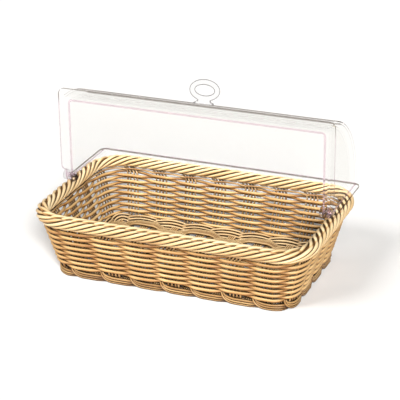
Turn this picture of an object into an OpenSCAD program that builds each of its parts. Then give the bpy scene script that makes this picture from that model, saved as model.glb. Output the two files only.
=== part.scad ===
// Countertop bread display bin: a woven cane basket with a clear roll-top cover.
// Origin at the middle of the basket's foot, +Z up, +X to the right, -Y to the customer.
// The cover is drawn rolled back, open to the front.

/* [Basket] */
// Length of the basket over its rim
basket_l = 400; // [360:1:450]
// Width of the basket over its rim, front to back
basket_w = 250; // [230:1:280]
// Length over the foot, where the basket stands
foot_l = 343; // [310:1:370]
// Width over the foot
foot_w = 198; // [180:1:220]
// Corner radius on the middle line of the rim
rim_corner_r = 44; // [38:1:52]
// Corner radius on the middle line of the foot
foot_corner_r = 28; // [24:1:36]

/* [Wall weave] */
// Diameter of one upright stake
stake_d = 2.6; // [2:0.1:3]
// Stakes that stand side by side in one group
stakes_per_group = 4; // [3:1:4]
// Groups of stakes along each long side
long_groups = 8; // [6:2:10]
// Groups of stakes along each short side
short_groups = 4; // [2:2:6]
// Shift of all groups along the wall, to the right seen from outside, in groups
group_shift = -0.35; // [-0.4:0.05:0.4]
// Diameter of one weaver cane
weaver_d = 3.4; // [2.8:0.1:3.6]
// Height from one row of weavers to the next
row_pitch = 4.06; // [3.9:0.02:4.2]
// Free height between the top row of weavers and the rim border
weave_margin = 2.7; // [2:0.1:4]
// Free space between two canes that lie side by side
cane_gap = 0.3; // [0.2:0.05:0.5]

/* [Rim] */
// Diameter of the rolled border on the rim
rim_d = 20; // [16:1:22]
// Groups of stakes that the border passes in about one turn round the rim wire
groups_per_turn = 4; // [3:1:6]
// Diameter of the steel wire inside the rim
rim_wire_d = 4; // [3:0.5:5]

/* [Foot and floor] */
// Diameter of one cane in the foot border
foot_cane_d = 3.1; // [2.6:0.1:3.4]
// Canes side by side in one loop of the foot border
foot_canes = 3; // [2:1:3]
// Distance along the wall from a group's middle to the start of its foot loop, in groups
foot_lead = 0.6; // [0.5:0.05:0.7]
// Height at which the loops of the foot border leave the wall
foot_h = 13.1; // [12.5:0.1:14]
// Width of the worn flat on which a loop of the foot border stands
foot_flat = 1.2; // [0.8:0.1:2]
// Diameter of the steel wire that carries the floor
floor_wire_d = 3.5; // [3:0.5:4]
// Diameter of one floor cane
floor_cane_d = 3; // [2.6:0.1:3.4]
// Floor canes that lie side by side in one group
floor_canes_per_group = 4; // [3:1:5]
// Least free strip between two groups of floor canes
floor_group_gap = 2.2; // [1.5:0.1:4]
// Height of the middle of the wire that carries the floor
floor_wire_z = 5; // [4:0.5:6]

/* [Cover] */
// Distance from the rim's outer edge in to the front shell's lip, at each end
cover_inset = 3; // [1:0.5:6]
// Distance from the rim's outer edge in to the front shell's curved wall, front and back
wall_inset = 4.5; // [2:0.5:8]
// Wall thickness of both clear shells
shell_t = 3; // [2:0.5:3.5]
// Free space between the front shell and the rear shell inside it
shell_gap = 4; // [3:0.5:6]
// Radius on the outer corners of the shells
shell_corner_r = 6; // [4:1:9]
// Width of the front shell's lip on the two side walls
lip_side = 6; // [4:0.5:8]
// Width of the front shell's lip on the curved wall
lip_top = 8.5; // [5:0.5:12]
// Radius on the corners of the lip and of the flange
lip_corner_r = 9; // [6:1:12]
// Width of the rear shell's flange on the two side rims
flange_side = 12; // [10:0.5:12.5]
// Width by which the rear shell reaches forward past the roll axis
rear_overlap = 5; // [3:0.5:7]
// Height of the roll axis above the top of the rim
pivot_rise = 8.5; // [8:0.5:10]
// Free height between parts that rest on one another
seat_gap = 0.3; // [0.2:0.1:0.5]

/* [Pivots] */
// Diameter of a pivot pin's shank
pin_d = 6; // [5:0.5:7]
// Running clearance on radius round a pivot pin
pin_clear = 0.06; // [0.03:0.01:0.09]
// Diameter of a pin's head, of its cap and of its spacer
pin_head_d = 14; // [12:0.5:14.5]
// Length of a pin's head
pin_head_l = 5; // [3:0.5:5.5]
// Length of a pin's inner cap
pin_cap_l = 4.5; // [4:0.5:6]

/* [Ring handle] */
// Length over the oval finger ring
ring_l = 43.5; // [38:0.5:48]
// Height over the oval finger ring
ring_h = 30.5; // [27:0.5:34]
// Width of the ring's band seen from the front
ring_band = 7.6; // [6:0.2:9]
// Thickness of the ring from front to back
ring_t = 7; // [5:0.5:9]
// Angle of the ring behind the front shell's top
ring_angle = 15.4; // [10:0.2:25]
// Length of the neck under the ring
neck_l = 17; // [12:1:20]
// Height of the neck between the ring and its base
neck_h = 1.45; // [1:0.05:4]
// Length of the ring's base on the wall
ring_base_l = 27; // [22:1:32]
// Thickness of the ring's base
ring_base_t = 2.5; // [2:0.5:4]
// Width of the ring's base from front to back
ring_base_w = 9; // [8:0.5:12]

/* [Hidden] */
$fn = 64;

// Rows of weavers up the wall, one node each
weaver_rows = 15;

cane_colour = [0.87, 0.68, 0.42];
dark_cane_colour = [0.72, 0.50, 0.28];
wire_colour = [0.55, 0.56, 0.58];
clear_colour = [0.85, 0.92, 0.95, 0.35];

// A loop round the basket is a rounded rectangle: half length, half width, corner radius, height
basket_h = foot_h + cane_gap + weaver_rows * row_pitch + weave_margin + rim_d;
foot_t = 2 * foot_cane_d + cane_gap;
foot_line = [foot_l / 2 - foot_t / 2, foot_w / 2 - foot_t / 2, foot_corner_r, foot_h + cane_gap];
rim_line = [basket_l / 2 - rim_d / 2, basket_w / 2 - rim_d / 2, rim_corner_r, basket_h - rim_d / 2];

// Places round a loop are counted in groups of stakes, from the middle of the front side to the right
quarter_groups = (long_groups + short_groups) / 2;
groups = 4 * quarter_groups;
last_long = (long_groups - 1) / 2;
first_short = quarter_groups - (short_groups - 1) / 2;
mean_quarter = (quarter_length(foot_line) + quarter_length(rim_line)) / 2;

// A weaver runs straight past a group and bends between two, with more steps round a corner
group_w = stakes_per_group * (stake_d + cane_gap);
foot_pitch = group_pitch(foot_line);
foot_corner_pitch = quarter_length(foot_line) - foot_pitch * (quarter_groups - 1);
flat_share = group_w / (foot_pitch + foot_corner_pitch);
corner_steps = 4;

// The wall leans out, so a cane beside a stake stands off by a little more than their radii
wall_rise = rim_line[3] - foot_line[3];
wall_lean = atan((rim_line[0] - foot_line[0]) / wall_rise);
lay = (stake_d + weaver_d) / 2 / cos(wall_lean) + cane_gap;
first_row_z = foot_line[3] + row_pitch / 2;
stake_top_z = rim_line[3] - rim_d / 2 + cane_gap / 2;

// The rolled border is four strands; each shows three canes, and leaves room for the wire
rim_strands = 4;
rim_turns = round(groups / groups_per_turn);
rim_steps = 3;
rim_section_angles = [-43, -28, -14, 0, 14, 28, 43];
rim_bore_angle = 38;
rim_bore_r = (rim_wire_d / 2 + cane_gap) / cos(rim_bore_angle);
rim_valley = 0.7;

foot_lay = (foot_cane_d + cane_gap) / 2;
foot_loop_w = foot_canes * foot_cane_d;
foot_low_z = foot_loop_w / 2;
stake_low_z = foot_loop_w + 2 * cane_gap;
floor_wire_in = foot_t / 2 + cane_gap + floor_wire_d / 2;
floor_stake_z = floor_wire_z + (floor_wire_d + stake_d + cane_gap) / 2;
floor_cane_z = floor_stake_z + (stake_d + floor_cane_d + cane_gap) / 2;
floor_end_in = foot_t / 2 + 2 * cane_gap;
floor_half_x = foot_line[0] - floor_end_in;
floor_half_y = foot_line[1] - floor_end_in;
floor_corner_r = foot_line[2] - floor_end_in;
floor_cane_gap = 0.1;
floor_cane_pitch = floor_cane_d + floor_cane_gap;
floor_edge = 3;
floor_width = 2 * (floor_half_y - floor_edge);
floor_groups = floor(floor_width / (floor_canes_per_group * floor_cane_pitch + floor_group_gap));

cover_r = basket_w / 2 - wall_inset;
front_x = basket_l / 2 - cover_inset - lip_side;
rear_x = front_x - shell_t - shell_gap;
rear_r = cover_r - shell_t - shell_gap;
pivot_z = basket_h + pivot_rise;
lip_y = seat_gap - pivot_rise;
flange_z = basket_h + seat_gap;
flange_x = rear_x + flange_side;
ear_r = pivot_rise - 3 * seat_gap;
flange_start = ear_r + 2.4;
trail_z = flange_z + shell_t + seat_gap;
reach = 2 * basket_l;
ring_rise = seat_gap + ring_base_t + neck_h + ring_h / 2;

// ---- Loops ----

function quarter_length(loop) = loop[0] + loop[1] - 2 * loop[2] + PI * loop[2] / 2;

// Groups stand half-way between parallel and evenly fanned
function group_pitch(loop) = (quarter_length(loop) + mean_quarter) / 2 / quarter_groups;

function quarter_distance(loop, u) =
    let (pitch = group_pitch(loop), total = quarter_length(loop),
         near = pitch * last_long, far = total - pitch * (quarter_groups - first_short))
    u <= last_long ? pitch * u
    : u >= first_short ? total - pitch * (quarter_groups - u)
    : near + (far - near) * (u - last_long) / (first_short - last_long);

// x, y and the angle of the outward normal at a distance s from the front's middle
function quarter_point(loop, s) =
    let (r = loop[2], straight = loop[0] - r, arc = PI * r / 2)
    s <= straight ? [s, -loop[1], -90]
    : s >= straight + arc ? [loop[0], s - straight - arc - loop[1] + r, 0]
    : let (a = 90 * (s - straight) / arc - 90)
      [straight + r * cos(a), r * sin(a) - loop[1] + r, a];

function wrap(t) = t - groups * floor(t / groups);

function loop_point(loop, t) =
    let (w = wrap(t), q = floor(w / quarter_groups), even = q % 2 == 0,
         u = even ? w - q * quarter_groups : (q + 1) * quarter_groups - w,
         p = quarter_point(loop, quarter_distance(loop, u)))
    q == 0 ? p
    : q == 1 ? [p[0], -p[1], -p[2]]
    : q == 2 ? [-p[0], -p[1], p[2] + 180]
    : [-p[0], p[1], 180 - p[2]];

// The same point on the leaning wall at height z
function wall_point(t, z) =
    let (h = (z - foot_line[3]) / wall_rise)
    loop_point(foot_line, t) * (1 - h) + nearest_turn(loop_point(rim_line, t), loop_point(foot_line, t)) * h;

function nearest_turn(p, guide) =
    [p[0], p[1], p[2] + 360 * round((guide[2] - p[2]) / 360)];

function outward(a) = [cos(a), sin(a), 0];
function along(a) = [-sin(a), cos(a), 0];

// Half of a rounded rectangle's depth where it is cut at a distance x from its middle
function chord_half(half_x, half_y, r, x) =
    abs(x) <= half_x - r ? half_y
    : half_y - r + sqrt(max(0, r * r - pow(abs(x) - half_x + r, 2)));

// ---- Sweeps ----

function tube_faces(rings, sides, closed) = [
    for (i = [0:closed ? rings - 1 : rings - 2], j = [0:sides - 1])
        let (a = i * sides, b = ((i + 1) % rings) * sides, k = (j + 1) % sides)
        each [[a + j, a + k, b + k], [a + j, b + k, b + j]]];

function cap_faces(rings, sides) = [
    [for (j = [sides - 1:-1:0]) j],
    [for (j = [0:sides - 1]) (rings - 1) * sides + j]];

module sweep(rings, closed) {
    sides = len(rings[0]);
    faces = tube_faces(len(rings), sides, closed);
    polyhedron(points = [for (ring = rings) each ring],
        faces = closed ? faces : concat(faces, cap_faces(len(rings), sides)), convexity = 10);
}

// A ring of section points [out, up] placed at one point of a loop
function placed(p, z, section) =
    [for (q = section) [p[0], p[1], z] + q[0] * outward(p[2]) + [0, 0, q[1]]];

function round_section(r, sides) =
    [for (j = [0:sides - 1]) r * [cos(360 * j / sides), sin(360 * j / sides)]];

function shifted(section, out) = [for (q = section) [q[0] + out, q[1]]];

// ---- Wall ----

function group_middle(k) = k + 0.5 + group_shift;

// Places where a weaver bends: both sides of every group, and more round the corners
weave_stops = [for (k = [0:groups - 1]) each concat(
    [group_middle(k) - flat_share, group_middle(k) + flat_share],
    at_corner(k + 1) ? [for (j = [1:corner_steps - 1])
        group_middle(k) + flat_share + (1 - 2 * flat_share) * j / corner_steps] : [])];

function at_corner(t) =
    let (w = t % (2 * quarter_groups))
    w == long_groups / 2 || w == 2 * quarter_groups - long_groups / 2;

// +1 outside the group, -1 inside it, and a straight crossing in between
function weave_side(t, row) =
    let (k = floor(t - group_shift), f = abs(t - group_middle(k)), side = (k + row) % 2 == 0 ? 1 : -1)
    f <= flat_share ? side : side * (0.5 - f) / (0.5 - flat_share);

module weaver(row) {
    z = first_row_z + (row - 1) * row_pitch;
    section = round_section(weaver_d / 2, 5);
    color(row % 2 == 0 ? cane_colour : dark_cane_colour)
        sweep([for (t = weave_stops) placed(wall_point(t, z), z, shifted(section, lay * weave_side(t, row)))],
            closed = true);
}

function flat_point(k, z, c) =
    let (a = wall_point(group_middle(k) - flat_share, z), b = wall_point(group_middle(k) + flat_share, z),
         dir = [b[0] - a[0], b[1] - a[1]] / norm([b[0] - a[0], b[1] - a[1]]))
    [(a[0] + b[0]) / 2 + c * dir[0], (a[1] + b[1]) / 2 + c * dir[1], z];

module rod(a, b, d) {
    v = b - a;
    translate(a) rotate([0, acos(v[2] / norm(v)), atan2(v[1], v[0])]) cylinder(h = norm(v), d = d);
}

module stake_group(k) {
    for (j = [0:stakes_per_group - 1]) {
        c = (j - (stakes_per_group - 1) / 2) * (stake_d + cane_gap);
        rod(flat_point(k, stake_low_z, c), flat_point(k, stake_top_z, c), stake_d);
    }
}

// Group numbers on each side of the basket
right_first = long_groups / 2;
back_first = right_first + short_groups;
left_first = back_first + long_groups;
front_groups = [for (k = [0:long_groups - 1]) (k + left_first + short_groups) % groups];
right_groups = [for (k = [0:short_groups - 1]) k + right_first];
back_groups = [for (k = [0:long_groups - 1]) k + back_first];
left_groups = [for (k = [0:short_groups - 1]) k + left_first];

module stakes(list) {
    color(dark_cane_colour) for (k = list) stake_group(k);
}

// ---- Rim ----

rim_stops = [for (i = [0:groups * rim_steps - 1]) i / rim_steps];

function rim_section(turn) = concat(
    [for (i = [0:len(rim_section_angles) - 1])
        let (r = rim_d / 2 - (i % 2 == 0 ? rim_valley : 0), a = turn + rim_section_angles[i])
        r * [cos(a), sin(a)]],
    [for (a = [rim_bore_angle, -rim_bore_angle]) rim_bore_r * [cos(turn + a), sin(turn + a)]]);

module rim_strand(number) {
    color(number % 2 == 0 ? cane_colour : dark_cane_colour)
        sweep([for (t = rim_stops) placed(loop_point(rim_line, t), rim_line[3],
            rim_section(360 * (rim_turns * t / groups + number / rim_strands)))], closed = true);
}

module rim_wire() {
    color(wire_colour)
        sweep([for (t = rim_stops) placed(loop_point(rim_line, t), rim_line[3],
            round_section(rim_wire_d / 2, 6))], closed = true);
}

// ---- Foot and floor ----

// One loop of the foot border, from the wall down, along and in behind the next loop:
// groups along, height, side of the wall and slope
foot_turn = 0.35;
foot_drop = foot_h - foot_low_z;
foot_route = concat(
    [for (a = [0:22.5:90]) [foot_turn * (1 - cos(a)), foot_h - foot_drop * sin(a), 1,
        atan2(-foot_drop * cos(a), foot_turn * foot_pitch * sin(a))]],
    [[0.6, foot_low_z, 1, 0], [0.88, foot_low_z, -1, 0], [1.2, foot_low_z, -1, 0]]);

// Three canes side by side with a flat under the lowest, [across, out]
foot_flat_out = foot_flat / foot_cane_d / 2;
foot_section = [[-1/2, foot_flat_out], [-1/3, 1/2], [-1/6, 0.3], [0, 1/2], [1/6, 0.3], [1/3, 1/2], [1/2, 0],
    [1/3, -1/2], [-1/3, -1/2], [-1/2, -foot_flat_out]];

function foot_ring(k, i) =
    let (q = foot_route[i], p = loop_point(foot_line, group_middle(k) + foot_lead + q[0]),
         across = -sin(q[3]) * along(p[2]) + [0, 0, cos(q[3])])
    [for (s = foot_section) [p[0], p[1], q[1]]
        + (q[2] * foot_lay + s[1] * foot_cane_d) * outward(p[2]) + s[0] * foot_loop_w * across];

module foot_loops(list) {
    color(cane_colour)
        for (k = list) sweep([for (i = [0:len(foot_route) - 1]) foot_ring(k, i)], closed = false);
}

module floor_wire() {
    color(wire_colour)
        sweep([for (t = rim_stops) placed(loop_point(foot_line, t), floor_wire_z,
            shifted(round_section(floor_wire_d / 2, 6), -floor_wire_in))], closed = true);
}

module floor_stakes() {
    color(dark_cane_colour)
        for (k = front_groups, j = [0:stakes_per_group - 1]) {
            x = loop_point(foot_line, k + 0.5)[0] + (j - (stakes_per_group - 1) / 2) * (stake_d + cane_gap);
            half = chord_half(floor_half_x, floor_half_y, floor_corner_r, abs(x) + stake_d / 2);
            translate([x, half, floor_stake_z]) rotate([90, 0, 0]) cylinder(h = 2 * half, d = stake_d);
        }
}

module floor_canes() {
    pitch = floor_width / floor_groups;
    color(cane_colour)
        for (g = [0:floor_groups - 1], j = [0:floor_canes_per_group - 1]) {
            y = (g - (floor_groups - 1) / 2) * pitch
                + (j - (floor_canes_per_group - 1) / 2) * floor_cane_pitch;
            half = chord_half(floor_half_y, floor_half_x, floor_corner_r, abs(y) + floor_cane_d / 2);
            translate([-half, y, floor_cane_z]) rotate([0, 90, 0]) cylinder(h = 2 * half, d = floor_cane_d);
        }
}

// ---- Cover ----

// Half of a drum's outline with a rounded corner, turned round the roll axis
module drum(half_x, r, corner) {
    outline = concat([[0, 0], [0, half_x]],
        [for (a = [90:-15:0]) [r - corner + corner * cos(a), half_x - corner + corner * sin(a)]], [[r, 0]]);
    translate([0, 0, pivot_z]) rotate([0, 90, 0])
        rotate_extrude($fn = 180) polygon(concat(outline, [for (i = [len(outline) - 1:-1:0])
            if (outline[i][1] > 0) [outline[i][0], -outline[i][1]]]));
}

module drum_shell(half_x, r) {
    difference() {
        drum(half_x, r, shell_corner_r);
        drum(half_x - shell_t, r - shell_t, shell_corner_r - shell_t);
    }
}

module x_rod(x0, x1, d) {
    translate([x0, 0, pivot_z]) rotate([0, 90, 0]) cylinder(h = x1 - x0, d = d);
}

module both_ends() {
    children();
    mirror([1, 0, 0]) children();
}

// A flat plate in X and Y, rounded at its two far corners
module plate(half_x, y0, y1, r, t) {
    corner = [for (a = [0:15:90]) [half_x - r + r * cos(a), y1 - r + r * sin(a)]];
    linear_extrude(t) polygon(concat([[half_x, y0]], corner,
        [for (i = [len(corner) - 1:-1:0]) [-corner[i][0], corner[i][1]]], [[-half_x, y0]]));
}

module rear_shell() {
    color(clear_colour)
        difference() {
            union() {
                intersection() {
                    drum_shell(rear_x, rear_r);
                    translate([-reach / 2, -rear_overlap, flange_z]) cube([reach, reach, reach]);
                }
                difference() {
                    translate([0, 0, flange_z]) plate(flange_x, flange_start, cover_r, lip_corner_r, shell_t);
                    drum(rear_x - shell_t, rear_r - shell_t, shell_corner_r - shell_t);
                }
                both_ends() intersection() {
                    x_rod(rear_x - shell_t, rear_x, 2 * ear_r);
                    translate([0, -reach / 2, flange_z]) cube([reach, reach, reach]);
                }
            }
            x_rod(-reach / 2, reach / 2, pin_d + 2 * pin_clear);
        }
}

module front_shell() {
    color(clear_colour)
        difference() {
            union() {
                intersection() {
                    drum_shell(front_x, cover_r);
                    union() {
                        translate([-reach / 2, lip_y, pivot_z]) cube([reach, reach, reach]);
                        translate([-reach / 2, 0, trail_z]) cube([reach, reach, reach]);
                    }
                }
                difference() {
                    translate([0, lip_y + shell_t, pivot_z]) rotate([90, 0, 0])
                        plate(front_x + lip_side, flange_start, cover_r + lip_top, lip_corner_r, shell_t);
                    drum(front_x - shell_t, cover_r - shell_t, shell_corner_r - shell_t);
                }
                both_ends() x_rod(front_x - shell_t, front_x, 2 * ear_r);
            }
            x_rod(-reach / 2, reach / 2, pin_d + 2 * pin_clear);
        }
}

// Pin with a chamfered head outside the front shell
head_chamfer = 1.2;

module pivot_pins() {
    shank_in = rear_x - shell_t - pin_cap_l + 1;
    head_in = front_x + seat_gap;
    color(clear_colour)
        both_ends() translate([0, 0, pivot_z]) rotate([0, 90, 0])
            rotate_extrude() polygon([[0, shank_in], [pin_d / 2, shank_in], [pin_d / 2, head_in],
                [pin_head_d / 2, head_in], [pin_head_d / 2, head_in + pin_head_l - head_chamfer],
                [pin_head_d / 2 - head_chamfer, head_in + pin_head_l], [0, head_in + pin_head_l]]);
}

// Domed caps that close the pins inside the cover
module pivot_caps() {
    cap_out = rear_x - shell_t - seat_gap;
    cap_in = rear_x - shell_t - pin_cap_l;
    bore_r = pin_d / 2 + pin_clear;
    cap_skin = 0.9;
    color(clear_colour)
        both_ends() translate([0, 0, pivot_z]) rotate([0, 90, 0])
            rotate_extrude() polygon([[bore_r, cap_out], [pin_head_d / 2, cap_out],
                [pin_head_d / 2, cap_in + head_chamfer], [pin_head_d / 2 - head_chamfer, cap_in],
                [0, cap_in], [0, cap_in + cap_skin], [bore_r, cap_in + cap_skin]]);
}

// Washers that keep the two shells apart on the pins
module pivot_spacers() {
    color(clear_colour)
        both_ends() difference() {
            x_rod(rear_x + seat_gap, rear_x + shell_gap - seat_gap, pin_head_d);
            x_rod(rear_x, rear_x + shell_gap, pin_d + 2 * pin_clear);
        }
}

// ---- Ring handle ----

ring_steps = 28;
ring_sides = 8;

module oval_ring() {
    mid_x = (ring_l - ring_band) / 2;
    mid_z = (ring_h - ring_band) / 2;
    sweep([for (i = [ring_steps - 1:-1:0])
        let (a = 360 * i / ring_steps, n = [mid_z * cos(a), mid_x * sin(a)], out = n / norm(n))
        [for (j = [0:ring_sides - 1]) let (b = 360 * (j + 0.5) / ring_sides)
            [mid_x * cos(a) + out[0] * ring_band / 2 * cos(b),
             ring_t / 2 * sin(b),
             mid_z * sin(a) + out[1] * ring_band / 2 * cos(b)]]], closed = true);
}

// A tapered block from the base up into the ring, and a bevelled base under it
module ring_foot() {
    base_z = seat_gap - ring_rise;
    top_z = base_z + ring_base_t;
    neck_z = (ring_band - ring_h) / 2;
    skin = 0.5;
    bevel = 1;
    hull() {
        translate([-neck_l / 2, bevel - ring_t / 2, neck_z - skin]) cube([neck_l, ring_t - 2 * bevel, skin]);
        translate([-neck_l / 2 - bevel, -ring_t / 2, top_z - skin]) cube([neck_l + 2 * bevel, ring_t, skin]);
    }
    hull() {
        translate([bevel - ring_base_l / 2, bevel - ring_base_w / 2, top_z - skin])
            cube([ring_base_l - 2 * bevel, ring_base_w - 2 * bevel, skin]);
        translate([-ring_base_l / 2, -ring_base_w / 2, base_z]) cube([ring_base_l, ring_base_w, bevel]);
    }
}

module ring_handle() {
    color(clear_colour)
        translate([0, 0, pivot_z]) rotate([-ring_angle, 0, 0]) translate([0, 0, cover_r + ring_rise]) {
            oval_ring();
            ring_foot();
        }
}

rim_wire();
rim_strand(1);  // rim_strand_1
rim_strand(2);  // rim_strand_2
rim_strand(3);  // rim_strand_3
rim_strand(4);  // rim_strand_4
stakes(front_groups);  // front_stakes
stakes(back_groups);  // back_stakes
stakes(left_groups);  // left_stakes
stakes(right_groups);  // right_stakes
weaver(1);  // weaver_01
weaver(2);  // weaver_02
weaver(3);  // weaver_03
weaver(4);  // weaver_04
weaver(5);  // weaver_05
weaver(6);  // weaver_06
weaver(7);  // weaver_07
weaver(8);  // weaver_08
weaver(9);  // weaver_09
weaver(10);  // weaver_10
weaver(11);  // weaver_11
weaver(12);  // weaver_12
weaver(13);  // weaver_13
weaver(14);  // weaver_14
weaver(15);  // weaver_15
foot_loops(front_groups);  // front_foot_loops
foot_loops(back_groups);  // back_foot_loops
foot_loops(left_groups);  // left_foot_loops
foot_loops(right_groups);  // right_foot_loops
floor_wire();
floor_stakes();
floor_canes();
rear_shell();
front_shell();
ring_handle();
pivot_pins();
pivot_caps();
pivot_spacers();
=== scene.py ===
import math

import bmesh
import bpy
import numpy as np
from mathutils import Matrix, Vector


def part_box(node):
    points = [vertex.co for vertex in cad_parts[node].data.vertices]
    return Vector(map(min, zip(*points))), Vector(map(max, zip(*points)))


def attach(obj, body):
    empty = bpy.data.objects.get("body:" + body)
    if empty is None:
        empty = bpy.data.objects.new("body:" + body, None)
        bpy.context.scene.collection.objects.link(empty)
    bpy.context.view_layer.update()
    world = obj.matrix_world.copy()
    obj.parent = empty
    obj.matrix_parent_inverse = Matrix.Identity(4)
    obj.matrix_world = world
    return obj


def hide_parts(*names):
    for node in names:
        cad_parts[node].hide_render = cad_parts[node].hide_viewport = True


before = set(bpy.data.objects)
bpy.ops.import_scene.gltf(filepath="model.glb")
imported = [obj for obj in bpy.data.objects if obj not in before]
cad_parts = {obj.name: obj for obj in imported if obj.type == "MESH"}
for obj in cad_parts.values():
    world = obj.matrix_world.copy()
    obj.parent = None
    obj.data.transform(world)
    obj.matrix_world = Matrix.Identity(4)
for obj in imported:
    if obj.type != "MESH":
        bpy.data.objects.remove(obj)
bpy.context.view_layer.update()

mm = 0.001

# ---- Floor wire ----
# A loop of steel wire with a brown baked coat, welded shut. It lies just inside the foot and carries
# the floor of the basket.

groups = 24
quarter = groups // 4
rim_wire_r = 2 * mm
rim_corner_r = 44 * mm
floor_wire_r = 1.75 * mm
wire_to_foot = 5.3 * mm
foot_corner_r = 28 * mm
foot_line_z = 13.4 * mm
wire_steps = 8
wire_sides = 12

rim_wire_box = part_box("rim_wire")
floor_wire_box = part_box("floor_wire")
rim_top = max(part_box(f"rim_strand_{n}")[1].z for n in (1, 2, 3, 4))
rim_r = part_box("rim_strand_1")[1].x - (rim_wire_box[1].x - rim_wire_r)
rim_z = rim_top - rim_r

# A line round the basket: half its length, half its width, its corner radius and its height
rim_line = (rim_wire_box[1].x - rim_wire_r, rim_wire_box[1].y - rim_wire_r, rim_corner_r, rim_z)
foot_line = (floor_wire_box[1].x - floor_wire_r + wire_to_foot,
             floor_wire_box[1].y - floor_wire_r + wire_to_foot, foot_corner_r, foot_line_z)
# A place on a line is a number of stake groups from the front's middle. The groups stand evenly as far as
# last_long on the long side and from first_short on the short side, and share out the corner between.
last_long = 3.5
first_short = quarter - 1.5


def quarter_length(line):
    return line[0] + line[1] - 2 * line[2] + math.pi * line[2] / 2


def group_pitch(line):
    mean = (quarter_length(foot_line) + quarter_length(rim_line)) / 2
    return (quarter_length(line) + mean) / 2 / quarter


def round_basket(line, t):
    """Points and outward directions on a line, t groups of stakes from the front's middle."""
    t = np.mod(np.asarray(t, float), groups)
    side = np.floor(t / quarter).astype(int)
    u = np.where(side % 2 == 0, t - side * quarter, (side + 1) * quarter - t)
    pitch, total = group_pitch(line), quarter_length(line)
    near, far = pitch * last_long, total - pitch * (quarter - first_short)
    bend = near + (far - near) * (u - last_long) / (first_short - last_long)
    s = np.where(u >= first_short, total - pitch * (quarter - u), bend)
    s = np.where(u <= last_long, pitch * u, s)
    half_x, half_y, r = line[:3]
    straight, arc = half_x - r, math.pi * r / 2
    a = np.clip((s - straight) / r, 0, math.pi / 2) - math.pi / 2
    x = np.where(s <= straight, s, straight + r * np.cos(a))
    y = np.where(s >= straight + arc, s - straight - arc, r * np.sin(a)) - half_y + r
    y = np.where(s <= straight, -half_y, y)
    flip_x = np.where(side >= 2, -1.0, 1.0)
    flip_y = np.where((side == 1) | (side == 2), -1.0, 1.0)
    outward = np.stack([np.cos(a) * flip_x, np.sin(a) * flip_y], -1)
    return np.stack([x * flip_x, y * flip_y], -1), outward


def lay_rods(name, rods, sides=8):
    """One mesh of round rods. Each rod is its middle line, a direction to one side, its radius, its tone,
    and True for a closed loop. Radius and tone are one number, or one for each point of the line."""
    turn = np.linspace(0, 2 * math.pi, sides, endpoint=False)
    end_turns = (35, 70)
    grain_shift = 0.37
    points, faces, tones, grains, first = [], [], [], [], 0
    for number, (line, side, radius, tone, loop) in enumerate(rods):
        line = np.asarray(line, float)
        ahead = np.roll(line, -1, 0) - np.roll(line, 1, 0) if loop else np.gradient(line, axis=0)
        ahead = ahead / np.linalg.norm(ahead, axis=1, keepdims=True)
        side = np.broadcast_to(np.asarray(side, float), line.shape)
        radius = np.broadcast_to(np.asarray(radius, float), len(line))
        tone = np.broadcast_to(np.asarray(tone, float), len(line))
        if not loop:
            # Rounded ends: two more rings, each smaller and further out
            start_r, end_r, reach = radius[0], radius[-1], 0.0
            for a in np.radians(end_turns):
                push = math.sin(a) - reach
                reach = math.sin(a)
                line = np.concatenate([[line[0] - ahead[0] * start_r * push], line,
                                       [line[-1] + ahead[-1] * end_r * push]])
                radius = np.concatenate([[start_r * math.cos(a)], radius, [end_r * math.cos(a)]])
                ahead, side, tone = (np.concatenate([row[:1], row, row[-1:]]) for row in (ahead, side, tone))
        side = side - ahead * np.sum(side * ahead, 1, keepdims=True)
        side = side / np.linalg.norm(side, axis=1, keepdims=True)
        other = np.cross(ahead, side)
        ring = (line[:, None] + radius[:, None, None] * (
            np.cos(turn)[None, :, None] * side[:, None] + np.sin(turn)[None, :, None] * other[:, None]))
        n = len(line)
        points.append(ring.reshape(-1, 3))
        tones.append(np.repeat(tone, sides))
        # The grain runs along the rod: its place across the rod, and its distance from the rod's start
        run = np.concatenate([[0], np.cumsum(np.linalg.norm(np.diff(line, axis=0), axis=1))])
        run = run + grain_shift * number
        across = radius.max() * np.stack([np.cos(turn), np.sin(turn)], -1)
        grains.append(np.concatenate([np.tile(across, (n, 1)), np.repeat(run, sides)[:, None]], 1))
        i, j = np.meshgrid(np.arange(n if loop else n - 1), np.arange(sides), indexing="ij")
        k, m = (i + 1) % n, (j + 1) % sides
        quads = np.stack([i * sides + j, i * sides + m, k * sides + m, k * sides + j], -1).reshape(-1, 4)
        faces += (quads + first).tolist()
        if not loop:
            faces.append([first + j for j in range(sides - 1, -1, -1)])
            faces.append([first + (n - 1) * sides + j for j in range(sides)])
        first += n * sides
    mesh = bpy.data.meshes.new(name)
    mesh.from_pydata(np.concatenate(points).tolist(), [], faces)
    mesh.shade_smooth()
    tone_data = mesh.attributes.new("tone", "FLOAT", "POINT").data
    tone_data.foreach_set("value", np.concatenate(tones).astype("f"))
    grain_data = mesh.attributes.new("grain", "FLOAT_VECTOR", "POINT").data
    grain_data.foreach_set("vector", np.concatenate(grains).astype("f").ravel())
    obj = bpy.data.objects.new(name, mesh)
    bpy.context.scene.collection.objects.link(obj)
    return obj


def node_maker(material):
    """A short way to build a material. add() makes a node: a key that starts with _ sets one of its
    properties, i0 or i1 names a socket by its place, and any other key is a socket's name."""
    nodes, links = material.node_tree.nodes, material.node_tree.links

    def add(kind, **sockets):
        made = nodes.new("ShaderNode" + kind)
        for key, value in sockets.items():
            if key[0] == "_":
                setattr(made, key[1:], value)
                continue
            by_place = key[0] == "i" and key[1:].isdigit()
            socket = made.inputs[int(key[1:]) if by_place else key.replace("_", " ")]
            if isinstance(value, bpy.types.NodeSocket):
                links.new(value, socket)
            else:
                socket.default_value = value
        return made

    return add, nodes["Principled BSDF"], links


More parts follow.
